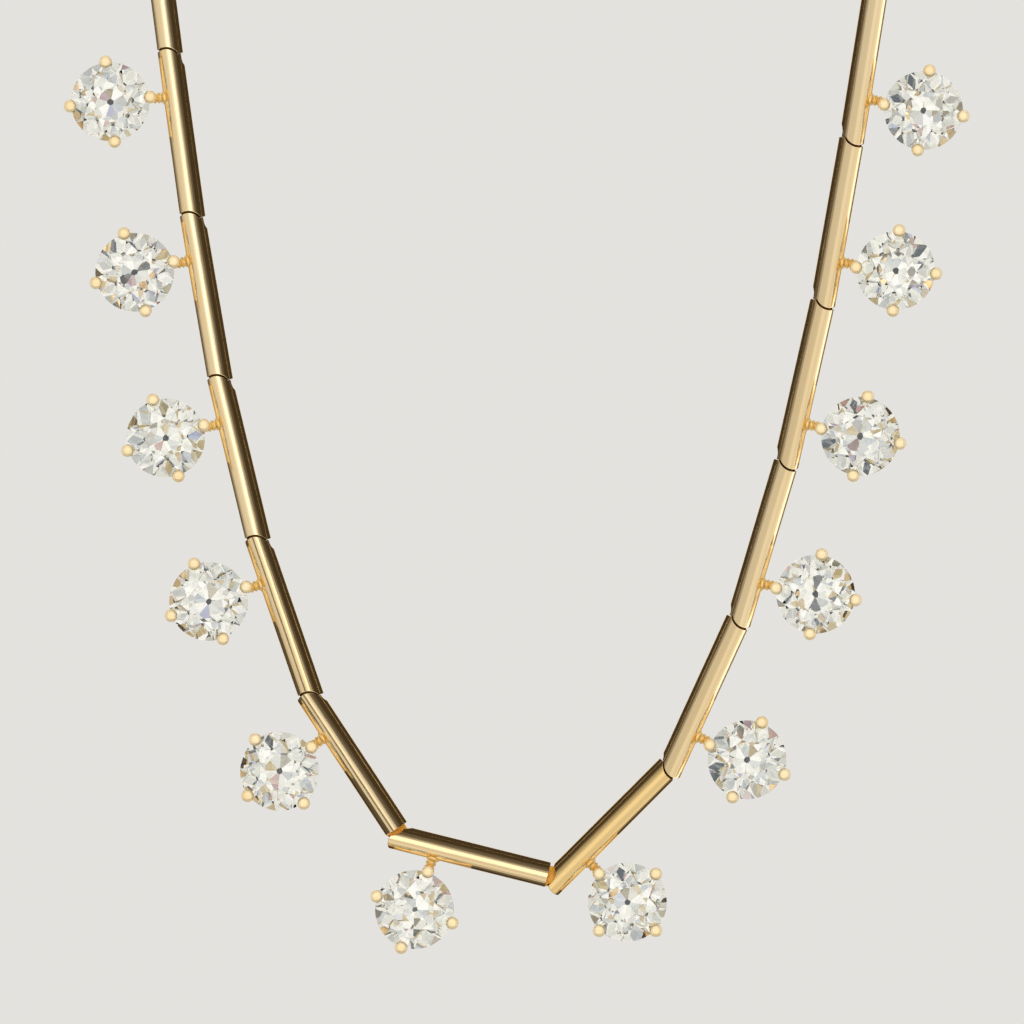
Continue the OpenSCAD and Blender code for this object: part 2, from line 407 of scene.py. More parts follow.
def torus(place: Pair, wire: float, part: Part, sides: int) -> Patch:
    """A ring of round wire about Z.

    Each point is ((R + w cos b) cos a, (R + w cos b) sin a, h + w sin b), with a round the ring
    and b round the wire.

    Args:
        place: Radius R and height h of the ring.
        wire: Radius w of the wire.
        part: The finish.
        sides: Points round the ring.

    Returns:
        The patch.
    """
    across = 14
    a, b = np.meshgrid(full_turn(sides), full_turn(across), indexing="ij")
    r = place[0] + wire * np.cos(b)
    points = xyz(r * np.cos(a), r * np.sin(a), place[1] + wire * np.sin(b)).reshape(-1, 3)
    quads = grid_faces(sides + 1, across)
    faces = [tuple(corner % (sides * across) for corner in quad) for quad in quads]
    return Patch(points, faces, part, points)


def swept(path: Points, radii: Points, part: Part) -> Patch:
    """A round wire of changing thickness along a path that lies in the XZ plane.

    At each path point the ring is r (cos b) n + r (sin b) Y, with n the path's normal in its
    plane; both ends close on a point.

    Args:
        path: Points of the path, X and Z.
        radii: Radius at each point.
        part: The finish.

    Returns:
        The patch.
    """
    sides = 24
    heading = np.gradient(path, axis=0)
    heading /= np.linalg.norm(heading, axis=1, keepdims=True)
    b = full_turn(sides)
    out, side = radii[:, None] * np.cos(b), radii[:, None] * np.sin(b)
    rings = xyz(path[:, :1] + out * heading[:, 1:], side, path[:, 1:] - out * heading[:, :1])
    poles = [[path[0, 0], 0, path[0, 1]], [path[-1, 0], 0, path[-1, 1]]]
    return capped(rings, poles, part)


def plate(outline: Points, half: float, part: Part) -> Patch:
    """A flat plate across Y, its outline star-shaped about its mean point, with softened edges.

    The outline is drawn four times: shrunk a little at both faces and full between them.

    Args:
        outline: Points round the outline in X and Z, in order.
        half: Half its thickness.
        part: The finish.

    Returns:
        The patch.
    """
    soft = 0.03
    middle = outline.mean(axis=0)
    inner = middle + (outline - middle) * (1 - soft)
    rows = [(inner, -half), (outline, soft - half), (outline, half - soft), (inner, half)]
    rings = np.stack([xyz(ring[:, 0], y, ring[:, 1]) for ring, y in rows])
    return capped(rings, [[middle[0], -half, middle[1]], [middle[0], half, middle[1]]], part)


def turned(points: Points, axis: str, degrees: float) -> Points:
    """Points turned about an axis by the right-hand rule.

    Args:
        points: The points.
        axis: X, Y or Z.
        degrees: The angle.

    Returns:
        The turned points.
    """
    c, s = math.cos(math.radians(degrees)), math.sin(math.radians(degrees))
    matrices = {
        "X": [[1, 0, 0], [0, c, -s], [0, s, c]],
        "Y": [[c, 0, s], [0, 1, 0], [-s, 0, c]],
        "Z": [[c, -s, 0], [s, c, 0], [0, 0, 1]],
    }
    return points @ np.array(matrices[axis]).T


@dataclass
class StoneCut:
    """An old European cut stone, its table towards Z, cut by hand and so a little uneven."""

    sizes: StoneSizes
    seed: int

    def planes(self) -> tuple[Points, Points]:
        """Every facet as a plane: its outward normal and its distance from the middle.

        A main facet of crown or pavilion leans out at its own angle, a star and each half facet
        run through three corners of the plain cut, and all but the table are then turned, leant
        and set in by small amounts.

        Returns:
            Normals and distances.
        """
        s = self.sizes
        half = math.radians(22.5)
        chance = np.random.default_rng(self.seed)
        share = s.table_share + chance.uniform(-s.table_play, s.table_play)
        table_r = share * s.r
        top = s.girdle_half + s.crown_share * s.d
        bottom = -s.girdle_half - s.pavilion_share * s.d
        star_r = table_r + s.star_share * (s.r - table_r)
        slope = s.crown_share * s.d / (s.r - table_r)
        star_z = top - (star_r * math.cos(half) - table_r) * slope
        lower_r = s.lower_share * s.r
        deep = s.pavilion_slope
        lower_z = -s.girdle_half - (s.r - lower_r * math.cos(half)) * deep
        eighths = np.arange(8) * math.pi / 4
        sixteenths = np.arange(17) * half

        def ring(r: float, z: float, turns: Points) -> Points:
            """Corners of a ring."""
            return xyz(r * np.cos(turns), r * np.sin(turns), z)

        def through(a: Points, b: Points, c: Points) -> Points:
            """Planes through three corners each: their normals with their distances."""
            normal = np.cross(b - a, c - a)
            normal /= np.linalg.norm(normal, axis=1, keepdims=True)
            reach = (normal * a).sum(axis=1)
            return np.column_stack([normal, reach]) * np.sign(reach)[:, None]

        def mains(rise: float, way: int) -> Points:
            """The eight main facets of the crown or the pavilion, all at one slope."""
            normal = ring(1.0, 0.0, eighths) * rise + [0, 0, way]
            reach = np.full(8, rise * s.r + s.girdle_half)
            return np.column_stack([normal, reach]) / math.hypot(rise, 1)

        table = ring(table_r, top, np.append(eighths, 0.0))
        stars, deeps = ring(star_r, star_z, eighths + half), ring(lower_r, lower_z, eighths + half)
        high, low = ring(s.r, s.girdle_half, sixteenths), ring(s.r, -s.girdle_half, sixteenths)
        facets = np.concatenate(
            [
                mains(slope, 1),
                through(table[:-1], table[1:], stars),
                through(np.repeat(stars, 2, axis=0), high[:-1], high[1:]),
                mains(deep, -1),
                through(np.repeat(deeps, 2, axis=0), low[:-1], low[1:]),
                [[0.0, 0.0, -1.0, -bottom]],
            ]
        )
        normals = facets[:, :3] + chance.normal(0, s.facet_lean, (len(facets), 3))
        normals /= np.linalg.norm(normals, axis=1, keepdims=True)
        reach = facets[:, 3] - np.abs(chance.normal(0, s.facet_inset, len(facets)))
        return np.concatenate([[[0, 0, 1.0]], normals]), np.append(top, reach)

    def build(self, mesh: bpy.types.Mesh) -> None:
        """Cuts a round blank by every facet's plane, so the girdle stays round and scalloped.

        Args:
            mesh: Takes the stone, in millimetres; its girdle faces get the second material.
        """
        s = self.sizes
        blank = bmesh.new()
        height = 1.2 * s.d
        bmesh.ops.create_cone(
            blank, cap_ends=True, segments=s.blank_sides, radius1=s.r, radius2=s.r, depth=height
        )
        for normal, reach in zip(*self.planes()):
            cut = bmesh.ops.bisect_plane(
                blank,
                geom=blank.verts[:] + blank.edges[:] + blank.faces[:],
                dist=1e-5,
                plane_co=normal * reach,
                plane_no=normal,
                clear_outer=True,
            )
            edges = [edge for edge in cut["geom_cut"] if isinstance(edge, bmesh.types.BMEdge)]
            bmesh.ops.edgeloop_fill(blank, edges=edges)
        bmesh.ops.remove_doubles(blank, verts=blank.verts[:], dist=1e-4)
        bmesh.ops.recalc_face_normals(blank, faces=blank.faces[:])
        blank.to_mesh(mesh)
        blank.free()
        normals = np.empty(len(mesh.polygons) * 3)
        mesh.polygons.foreach_get("normal", normals)
        band = np.abs(normals[2::3]) < 1e-3
        mesh.polygons.foreach_set("material_index", band.astype(np.int32))


@dataclass
class Loop:
    """The hanging loop: the direction and the hinge pin of each of its pieces.

    Past the station links each side hangs by one rule: the slope of link k, down over across, is
    middle_slope - slope_step (k - foot).
    """

    sizes: ChainSizes
    middle_slope: float = 0.25
    slope_step: float = 1.25
    foot: int = 5

    def __post_init__(self) -> None:
        """Works out every direction and pin."""
        s = self.sizes
        self.side_count = s.left_plain + len(STATIONS) + s.right_plain
        self.count = self.side_count + s.arc_pieces
        self.clasp_index = self.side_count + (s.arc_pieces - 1) // 2
        sides = [self.hang(i - s.left_plain) for i in range(self.side_count)]
        self.directions = np.array(sides + self.arc(sides))
        steps = s.pitch * self.along(self.directions)
        self.pins = np.concatenate([[[0.0, 0.0]], np.cumsum(steps, axis=0)[:-1]])
        self.hang_point = self.clasp_middle() + (s.pin_offset + s.clasp_r) * self.inward()

    @staticmethod
    def along(degrees: Points) -> Points:
        """Unit vectors, in X and Z, of directions in degrees from straight down."""
        angle = np.radians(degrees)
        return np.stack([np.sin(angle), -np.cos(angle)], axis=-1)

    def hang(self, k: int) -> float:
        """Direction of the side link k, counted from the first station link.

        Args:
            k: Its number.

        Returns:
            Degrees from straight down towards the right.
        """
        if 0 <= k < len(STATIONS):
            return STATIONS[k].direction
        return math.degrees(math.atan2(1, self.middle_slope - self.slope_step * (k - self.foot)))

    def arc(self, sides: list[float]) -> list[float]:
        """Directions of the pieces that close the loop, each turned equally from the last.

        The turn t is found by halving: n links span sin(n t / 2) / sin(t / 2) link lengths.

        Args:
            sides: Directions of the two sides' links.

        Returns:
            The directions.
        """
        n = self.sizes.arc_pieces
        end = self.along(np.array(sides)).sum(axis=0)
        low, high = 1.0, 340.0 / n
        for _ in range(60):
            middle = (low + high) / 2
            half = math.radians(middle) / 2
            if math.sin(n * half) / math.sin(half) > float(np.hypot(*end)):
                low = middle
            else:
                high = middle
        centre = 360 + math.degrees(math.atan2(-end[0], end[1]))
        return [centre + (i - (n - 1) / 2) * low for i in range(n)]

    def bend(self, i: int) -> float:
        """Bend at the nose of piece i, from the piece before it, in degrees."""
        before = self.directions[i - 1] - (360 if i == 0 else 0)
        return float(self.directions[i] - before)

    def clasp_middle(self) -> Points:
        """The middle of the clasp, on the line of its hinge pins."""
        half = (self.sizes.pitch - self.sizes.nose_back) / 2
        return self.pins[self.clasp_index] + half * self.along(self.directions[self.clasp_index])

    def inward(self) -> Points:
        """Unit vector from the clasp to the inside of the loop."""
        angle = math.radians(self.directions[self.clasp_index])
        return np.array([math.cos(angle), math.sin(angle)])

    def placed(self, points: Points, i: int) -> Points:
        """Carries points from a piece's own frame into the necklace's frame.

        Args:
            points: Local points: X along the link from its pin, Y to the front, Z outwards.
            i: Number of the piece.

        Returns:
            The points in place, in metres.
        """
        upright = turned(turned(points, "X", 180), "Y", 90 - float(self.directions[i]))
        pin = self.pins[i] - self.hang_point
        return (upright + np.array([pin[0], 0, pin[1]])) * MM


def joint_part(sizes: ChainSizes, bend: float) -> Part:
    """Finish inside a hinge: amber gold with a painted glow in an open joint, dark brown gold with
    painted shade in a closed seam.
    """
    return Part.JOINT if bend > sizes.wide_bend else Part.SEAM


@dataclass
class TubeShell:
    """The tube of one piece: its skin, rims, slot and bores, as one closed surface."""

    sizes: ChainSizes
    bend: float
    next_bend: float

    def nose(self, z: Points, y: Points) -> Points:
        """Where the wall begins, along the link.

        The nose is the arc x = c - sqrt(R^2 - z^2); past it the wall starts on the line of the
        link before. A wide joint also stays behind that link's rim and its round scoop. The slot
        ends in a half circle.

        Args:
            z: Heights from the pin, towards the stones.
            y: Distances from the link's middle plane, measured on the skin.

        Returns:
            X of the wall's edge.
        """
        s = self.sizes
        c, t = math.cos(math.radians(self.bend)), math.sin(math.radians(self.bend))
        round_part = s.nose_r**2 - z**2
        arc = np.where(round_part > 0, s.nose_x - np.sqrt(np.maximum(round_part, 0)), np.inf)
        if self.bend <= s.wide_bend:
            edge = np.minimum(arc, (s.lip - s.nose_back - z * t) / c)
        else:
            edge = np.minimum(arc, s.lip - s.nose_back)
            rim = (-s.nose_back - z * t) / c
            top = -s.nose_back * t + (s.tube_r + s.seam - s.pin_offset) * c
            edge = np.maximum(edge, np.where(z < top, rim, -np.inf))
            out = s.scoop_per_degree * self.bend - s.nose_back - s.seam - s.tube_r
            x0, z0 = out * c + s.pin_offset * t, out * t - s.pin_offset * c
            disc = s.tube_r**2 - (z - z0) ** 2
            scoop = np.where(disc > 0, x0 + np.sqrt(np.maximum(disc, 0)), -np.inf)
            edge = np.maximum(edge, scoop)
        half = s.slot_w / 2
        end = s.slot_end + s.slot_per_degree * max(0.0, self.bend - s.wide_bend)
        inside = (z < -s.pin_offset) & (np.abs(y) < half)
        slot = end - half + np.sqrt(np.maximum(half**2 - y**2, 0))
        return np.where(inside, np.maximum(edge, slot), edge)

    def rim(self, z: Points) -> Points:
        """Where the wall ends: an arc about the next nose's centre, or a straight rim.

        Args:
            z: Heights from the pin.

        Returns:
            X of the wall's edge.
        """
        s = self.sizes
        if self.next_bend > s.wide_bend:
            return np.full_like(z, s.pitch - s.nose_back - s.seam)
        round_part = (s.nose_r + s.seam) ** 2 - z**2
        lip = s.pitch - s.nose_back + s.lip
        arc = s.pitch + s.nose_x - np.sqrt(np.maximum(round_part, 0))
        return np.where(round_part > 0, np.minimum(arc, lip), lip)

    def columns(self) -> Points:
        """Angles of the lengthwise lines, with a close pair at each side of the slot."""
        s = self.sizes
        near, apart = 0.02, 0.004
        side = math.pi - math.asin(s.slot_w / 2 / s.tube_r)
        even = full_turn(96) - math.pi
        even = even[np.min(np.abs(np.abs(even)[:, None] - side), axis=1) > near]
        pairs = [sign * side + step for sign in (1, -1) for step in (-apart, apart)]
        return np.sort(np.concatenate([even, pairs]))

    def build(self) -> Patch:
        """The whole shell.

        Each lengthwise line starts in the middle of the nose's bore, runs out along the bore, over
        the rounded rim, along the skin, over the far rim and back into the far bore.

        Returns:
            The patch.
        """
        s = self.sizes
        a = self.columns()
        root = s.pitch - s.root_back

        def start(r: float, shift: float) -> tuple[Points, float]:
            """A row at a radius, shifted from the nose's edge."""
            edge = self.nose(r * np.cos(a) - s.pin_offset, s.tube_r * np.sin(a))
            return edge + s.trim + shift, r

        def end(r: float, shift: float) -> tuple[Points, float]:
            """A row at a radius, shifted back from the rim's edge."""
            return self.rim(r * np.cos(a) - s.pin_offset) - s.trim - shift, r

        quarter = np.radians([0.0, 30.0, 60.0, 90.0])
        corner = [(s.edge * (1 - math.cos(q)), s.edge * (1 - math.sin(q))) for q in quarter]
        crease = s.edge + s.crease
        nose = [(np.full_like(a, s.bore_deep), s.bore_r)]
        nose += [start(s.bore_r, s.edge + s.bore_lead), start(s.bore_r, crease)]
        nose += [start(s.bore_r + inset, shift) for inset, shift in corner]
        first, last = start(s.tube_r, crease)[0], end(s.tube_r, crease)[0]
        skin = [start(s.tube_r - inset, shift) for inset, shift in reversed(corner)]
        skin += [(first + (last - first) * share, s.tube_r) for share in np.linspace(0, 1, 18)]
        skin += [end(s.tube_r - inset, shift) for inset, shift in corner]
        far = [end(s.bore_r + inset, shift) for inset, shift in reversed(corner)]
        far += [end(s.bore_r, crease), (np.full_like(a, root), s.bore_r)]
        rows = nose + skin + far
        x, r = np.stack([row[0] for row in rows]), np.array([[row[1]] for row in rows])
        rings = xyz(x, r * np.sin(a), r * np.cos(a) - s.pin_offset)
        poles = [[s.bore_deep, 0, -s.pin_offset], [root, 0, -s.pin_offset]]
        patch = capped(rings, poles, Part.TUBE)
        patch.drawn = s.drawn(patch.points)
        # The bores and the inner faces of the rims take the joint's finish: a painted amber glow in an
        # open joint, painted shade in a closed seam.
        before, after = (joint_part(s, bend).value for bend in (self.bend, self.next_bend))
        bands = [before] * len(nose) + [Part.TUBE.value] * (len(skin) - 1) + [after] * len(far)
        patch.each = np.repeat(bands + [before, after], len(a)).tolist()
        return patch


@dataclass
class Hinge:
    """The pin in a link's nose and the tongue in its far end."""

    sizes: ChainSizes
    bend: float
    next_bend: float

    def build(self) -> list[Patch]:
        """The pin and the tongue."""
        s = self.sizes
        flat_r, flat = s.pin_r - s.pin_edge, s.pin_half - s.pin_edge
        profile = [(flat_r, -s.pin_half), (s.pin_r, -flat), (s.pin_r, flat), (flat_r, s.pin_half)]
        pin = revolved(profile, joint_part(s, self.bend), 16)
        pin.points = turned(pin.points, "X", 90)
        return [pin, self.tongue()]

    def tongue(self) -> Patch:
        """The plate that stands in the bore and ends round the pin's eye."""
        s = self.sizes
        slant = 0.02
        cut = (s.tongue_deep - s.eye_r) / math.sqrt(2)
        turn = np.radians(np.linspace(-90, 90, 13))
        top, root = s.tube_r - s.pin_offset - s.tongue_gap, -s.root_back - s.tongue_root
        outline = np.array(
            [
                (0.0, cut - s.tongue_deep),
                *np.stack([s.eye_r * np.cos(turn), s.eye_r * np.sin(turn)], axis=-1),
                (-s.nose_back, s.eye_r),
                (-s.nose_back - slant, top),
                (root, top),
                (root, -s.tongue_deep),
                (-cut, -s.tongue_deep),
            ]
        )
        patch = plate(outline, s.tongue_half, joint_part(s, self.next_bend))
        patch.points = patch.points + np.array([s.pitch, 0, 0])
        return patch


@dataclass
class Setting:
    """The ribbed stem, two gallery rings and four claws round a stone."""

    sizes: SettingSizes
    stone: StoneSizes
    chain: ChainSizes

    def clear_of_stone(self, points: Points) -> Points:
        """Moves points that lie in the stone's room out to its surface.

        Below the girdle a point moves out to the pavilion's cone, and above it a point moves up to
        the crown's cone, both grown by the gap.

        Args:
            points: Points in the head's frame, the stone's axis along Z.

        Returns:
            The moved points.
        """
        s = self.stone
        spare, least = 0.05, 0.01
        x, y, z = points.T
        r = np.hypot(x, y)
        below = z < s.girdle_half
        depth = np.maximum(-s.girdle_half - z, 0)
        room = s.r + s.gap - np.maximum(depth / s.pavilion_slope - spare, 0)
        grow = np.where(below & (r < room), room / np.maximum(r, least), 1.0)
        crown = s.girdle_half + s.gap + (s.r - r) * s.crown_slope
        return xyz(x * grow, y * grow, np.where(~below & (r < s.r), np.maximum(z, crown), z))

    def claw(self) -> Patch:
        """One claw: a wire that rises from the lower ring, bends up past the stone's edge and ends
        in a round bead over it.

        The wire's path runs through the knots and is smoothed three times, and its end is a dome
        whose height and radius go with the sine and the cosine of one angle.

        Returns:
            The patch.
        """
        s = self.sizes
        head = [(s.claw_out + out, up) for out, up in s.claw_head]
        knots = np.array([s.lower_ring, *s.claw_foot, *head])
        reach = np.concatenate([[0], np.cumsum(np.hypot(*np.diff(knots, axis=0).T))])
        t = np.linspace(0, reach[-1], 26)
        path = np.stack([np.interp(t, reach, knots[:, 0]), np.interp(t, reach, knots[:, 1])], axis=-1)
        for _ in range(3):
            path[1:-1] = (path[:-2] + 2 * path[1:-1] + path[2:]) / 4
        radii = np.interp(t, [0, reach[-1] * s.claw_swell, reach[-1]], s.claw_radii)
        angle = np.radians([12, 24, 36, 48, 60, 70, 80, 87])
        tip_r = s.claw_radii[-1]
        rise = tip_r * s.dome * np.sin(angle) ** 0.9
        path = np.concatenate([path, path[-1] + np.stack([np.zeros(len(rise)), rise], axis=-1)])
        radii = np.concatenate([radii, tip_r * np.cos(angle) ** 0.8])
        return swept(path, radii, Part.SETTING)

    def stem(self) -> Patch:
        """The turned stem: a flared foot, two beads with a waist between, and the neck.

        Its radius at height z is the stem's, plus a flare that fades as exp(-z / h), plus a swell
        exp(-((z - at) / h)^2) for each bead and the same, inwards, for the waist.

        Returns:
            The patch.
        """
        s = self.sizes
        z = np.linspace(-s.stem_in, s.stone_reach - s.claw_out + s.neck_in, 60)
        r = s.stem_r + s.flare[0] * np.exp(-np.maximum(z, 0) / s.flare[1])
        low, high = s.bead_heights
        for at, (swell, half) in ((low, s.bead), (high, s.bead), ((low + high) / 2, s.waist)):
            r += swell * np.exp(-(((z - at) / half) ** 2))
        return revolved(list(zip(r, z)), Part.STEM, 32)

    def build(self, station: Station) -> list[Patch]:
        """Stem, rings and claws, in the link's frame.

        Args:
            station: Lean and turn of this setting.

        Returns:
            The patches.
        """
        s = self.sizes
        head = [
            torus(s.upper_ring, s.ring_r, Part.SETTING, 48),
            torus(s.lower_ring, s.ring_r, Part.SETTING, 36),
        ]
        for quarter in range(4):
            claw = self.claw()
            claw.points = turned(claw.points, "Z", 90.0 * quarter)
            head.append(claw)
        for patch in head:
            patch.points = patch.drawn = self.in_link(self.clear_of_stone(patch.points), station)
        stem = self.stem()
        stem.points = stem.drawn = turned(stem.points, "Y", station.lean) + self.foot()
        return [stem] + head

    def foot(self) -> Points:
        """Where the stem leaves the tube, in the link's frame."""
        return np.array([self.sizes.stem_along, 0.0, self.chain.tube_r - self.chain.pin_offset])

    def in_link(self, points: Points, station: Station) -> Points:
        """Carries points from the head's frame, the stone's axis along Z, into the link's frame.

        Args:
            points: The points.
            station: Lean and turn of the setting.

        Returns:
            The points in the link's frame.
        """
        s = self.sizes
        points = turned(turned(points, "Z", station.turn), "X", -90)
        points = points + np.array([0, s.girdle_front, s.stone_reach])
        return turned(points, "Y", station.lean) + self.foot()


@dataclass(frozen=True)
class GoldFinish:
    """Polished or cast yellow gold.

    Args:
        name: The finish's real name.
        colour: sRGB hex colour.
        worn: sRGB hex colour of the duller marks.
        roughness: Roughness of the clean metal.
        streak: Strength of the fine lengthwise marks.
        bump: Height of the marks, in millimetres.
        scale: Marks per millimetre round the tube.
        metal: Share of bare metal; the rest is matt and diffuse, as in the joints' painted amber glow.
    """

    name: str
    colour: str
    worn: str
    roughness: float
    streak: float
    bump: float
    scale: float
    metal: float = 1.0

    def make(self) -> bpy.types.Material:
        """Builds the material: marks from the drawing coordinates vary colour, gloss and height.

        Returns:
            The material.
        """
        material, tree = new_material(self.name)
        noise, ranged = "ShaderNodeTexNoise", "ShaderNodeMapRange"
        drawn = add_node(tree, "ShaderNodeAttribute", attribute_name="drawn").outputs["Vector"]
        fine = add_node(tree, noise, Vector=drawn, Scale=self.scale, Detail=3.0, Roughness=0.6)
        wide = self.scale * 0.12
        cloud = add_node(tree, noise, Vector=drawn, Scale=wide, Detail=2.0)
        cloudy, marks = cloud.outputs["Fac"], fine.outputs["Fac"]
        share = add_node(tree, ranged, Value=cloudy, From_Min=0.35, From_Max=0.75, To_Max=self.streak)
        mix = add_node(
            tree,
            "ShaderNodeMix",
            data_type="RGBA",
            Factor=share.outputs["Result"],
            A=srgb(self.colour),
            B=srgb(self.worn),
        )
        low, high = self.roughness, self.roughness * 1.8
        gloss = add_node(
            tree, ranged, Value=marks, From_Min=0.3, From_Max=0.7, To_Min=low, To_Max=high
        )
        height = self.bump * MM
        relief = add_node(tree, "ShaderNodeBump", Height=marks, Strength=0.4, Distance=height)
        gold = add_node(
            tree,
            "ShaderNodeBsdfPrincipled",
            Metallic=self.metal,
            Base_Color=mix.outputs["Result"],
            Roughness=gloss.outputs["Result"],
            Normal=relief.outputs["Normal"],
        )
        add_node(tree, "ShaderNodeOutputMaterial", Surface=gold.outputs["BSDF"])
        return material


@dataclass(frozen=True)
class DiamondFinish:
    """Clear diamond, polished or with the fine matt skin of a turned girdle.

    Args:
        name: The finish's real name.
        colour: sRGB hex colour of its body.
        least: Roughness of the smooth patches.
        most: Roughness where the polish lines show.
        lines: Width of the marks, in millimetres.
        index: Refractive index.
    """

    name: str
    colour: str
    least: float
    most: float
    lines: float
    index: float = 2.417

    def make(self) -> bpy.types.Material:
        """Builds the material: a clear crystal whose polish varies a little.

        Returns:
            The material.
        """
        material, tree = new_material(self.name)
        place = add_node(tree, "ShaderNodeTexCoord").outputs["Object"]
        scale = 1.0 / (self.lines * MM)
        marks = add_node(tree, "ShaderNodeTexNoise", Vector=place, Scale=scale, Detail=2.0)
        gloss = add_node(
            tree,
            "ShaderNodeMapRange",
            Value=marks.outputs["Fac"],
            From_Min=0.5,
            From_Max=0.8,
            To_Min=self.least,
            To_Max=self.most,
        )
        crystal = add_node(
            tree,
            "ShaderNodeBsdfPrincipled",
            Base_Color=srgb(self.colour),
            IOR=self.index,
            Transmission_Weight=1.0,
            Roughness=gloss.outputs["Result"],
        )
        add_node(tree, "ShaderNodeOutputMaterial", Surface=crystal.outputs["BSDF"])
        return material


GOLD = {
    # Drawn tube, buffed along its length: sharp bright bands, with faint lengthwise streaks.
    Part.TUBE: GoldFinish("polished yellow gold", "#FAE2B4", "#EFCE91", 0.1, 0.5, 0.007, 9.0),
    # Cast and only lightly polished: pale, soft lights on the beads and rings.
    Part.SETTING: GoldFinish("satin cast yellow gold", "#FCECC8", "#F3D397", 0.24, 0.4, 0.012, 5.0),
    # Unpolished gold, with painted light: a mostly matt, deep amber finish stands in for the amber
    # glow of light bouncing between the gold ends in the open joints.
    Part.JOINT: GoldFinish(
        "unpolished gold in the joints with painted amber glow", "#FFC848", "#F4A634", 0.3, 0.7, 0.01, 4.0, metal=0.2
    ),
    # Painted shade between the links: the faces inside each closed seam are dark brown, so the seam
    # reads as a thin dark line.
    Part.SEAM: GoldFinish("gold in the seams with painted shade", "#94622E", "#5C3A1C", 0.42, 0.8, 0.01, 4.0),
    # Painted warm light: the stems are a deeper orange copy of the claws' gold, standing in for the
    # warm light between the ribs.
    Part.STEM: GoldFinish("stem gold with painted warm light", "#F9DE9F", "#E6B86A", 0.28, 0.7, 0.01, 4.0),
}
CRYSTAL = (
    # Facets polished on a wheel: clear, with crisp edges and a faintly warm body.
    DiamondFinish("polished old cut diamond", "#FFFDF6", 0.0, 0.02, 1.2),
    # Ground round and left so: a fine grey-white frosted line about the stone.
    DiamondFinish("bruted diamond girdle", "#FBFAF5", 0.35, 0.5, 0.15),
)


def hand_over(piece: bpy.types.Object, node: str) -> None:
    """Gives a piece to the frame in place of a node.

    Args:
        piece: The piece.
        node: The node that it replaces.
    """
    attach(piece, "root")
    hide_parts(node)
    log.info("%s: %d faces", piece.name, len(piece.data.polygons))


@dataclass
class GoldPiece:
    """One soldered gold piece of the loop, which replaces its CAD node."""

    node: str
    index: int
    loop: Loop
    chain: ChainSizes
    materials: list[bpy.types.Material]

    def patches(self) -> list[Patch]:
        """The tube with its hinge parts, in the link's frame."""
        last = (self.index + 1) % self.loop.count
        form = (self.chain, self.loop.bend(self.index), self.loop.bend(last))
        return [TubeShell(*form).build()] + Hinge(*form).build()

    def build(self, name: str, patches: list[Patch]) -> bpy.types.Object:
        """Makes one object, its place in its mesh, smooth, with its drawing coordinates.

        Args:
            name: The object's name.
            patches: Its patches, in the link's frame.

        Returns:
            The object.
        """
        points, faces, finish, drawn = join(patches)
        mesh = bpy.data.meshes.new(name)
        mesh.from_pydata(self.loop.placed(points, self.index).tolist(), [], faces)
        mesh.polygons.foreach_set("material_index", finish)
        mesh.polygons.foreach_set("use_smooth", [True] * len(faces))
        mesh.update()
        marks = (drawn + self.index * self.chain.marks_step).ravel()
        mesh.attributes.new("drawn", "FLOAT_VECTOR", "POINT").data.foreach_set("vector", marks)
        for material in self.materials:
            mesh.materials.append(material)
        piece = add_object(name, mesh)
        hand_over(piece, self.node)
        return piece

    def dress(self) -> bpy.types.Object:
        """Builds the tube and gives it to the frame."""
        return self.build(f"tube_{self.node}", self.patches())


@dataclass
class StationPiece(GoldPiece):
    """A link with its stem and setting."""

    station: Station
    setting: Setting

    def dress_setting(self) -> bpy.types.Object:
        """Builds the stem and the setting, and gives them to the frame.

        Light that has passed through a stone doesn't meet them, so the stone stays clear.

        Returns:
            The setting's object.
        """
        setting = self.build(f"setting_{self.node}", self.setting.build(self.station))
        setting.visible_transmission = False
        return setting

    def dress_stone(self, k: int, materials: list[bpy.types.Material]) -> bpy.types.Object:
        """Builds the stone in this link's setting.

        Args:
            k: Its number in the row, from zero.
            materials: The crystal and the girdle's finish.

        Returns:
            The stone's object.
        """
        mesh = bpy.data.meshes.new(f"diamond_{k + 1:02d}")
        StoneCut(self.setting.stone, k + 1).build(mesh)
        flat = np.empty(len(mesh.vertices) * 3)
        mesh.vertices.foreach_get("co", flat)
        points = turned(flat.reshape(-1, 3), "Z", self.station.cut)
        points = turned(turned(points, "X", self.station.tilt[0]), "Y", self.station.tilt[1])
        placed = self.loop.placed(self.setting.in_link(points, self.station), self.index)
        mesh.vertices.foreach_set("co", placed.ravel())
        mesh.update()
        for material in materials:
            mesh.materials.append(material)
        stone = add_object(mesh.name, mesh)
        hand_over(stone, f"stone_{k + 1:02d}")
        return stone


@dataclass
class ClaspPiece(GoldPiece):
    """The clasp: a plain barrel with rounded ends on a link of its own."""

    def patches(self) -> list[Patch]:
        """The link's patches and the barrel's."""
        s = self.chain
        r, half, soft = s.clasp_r - s.clasp_edge, s.clasp_length / 2 - s.clasp_edge, s.clasp_edge
        turn = np.radians(np.linspace(0, 90, 7))
        low = [(r + soft * math.sin(q), -half - soft * math.cos(q)) for q in turn]
        body = [(s.clasp_r, z) for z in np.linspace(0.05 - half, half - 0.05, 9)]
        high = [(radius, -z) for radius, z in reversed(low)]
        barrel = revolved(low + body + high, Part.TUBE, 64)
        middle = np.array([(s.pitch - s.nose_back) / 2, 0, -s.pin_offset])
        barrel.points = turned(barrel.points, "Y", 90) + middle
        barrel.drawn = s.drawn(barrel.points)
        return super().patches() + [barrel]


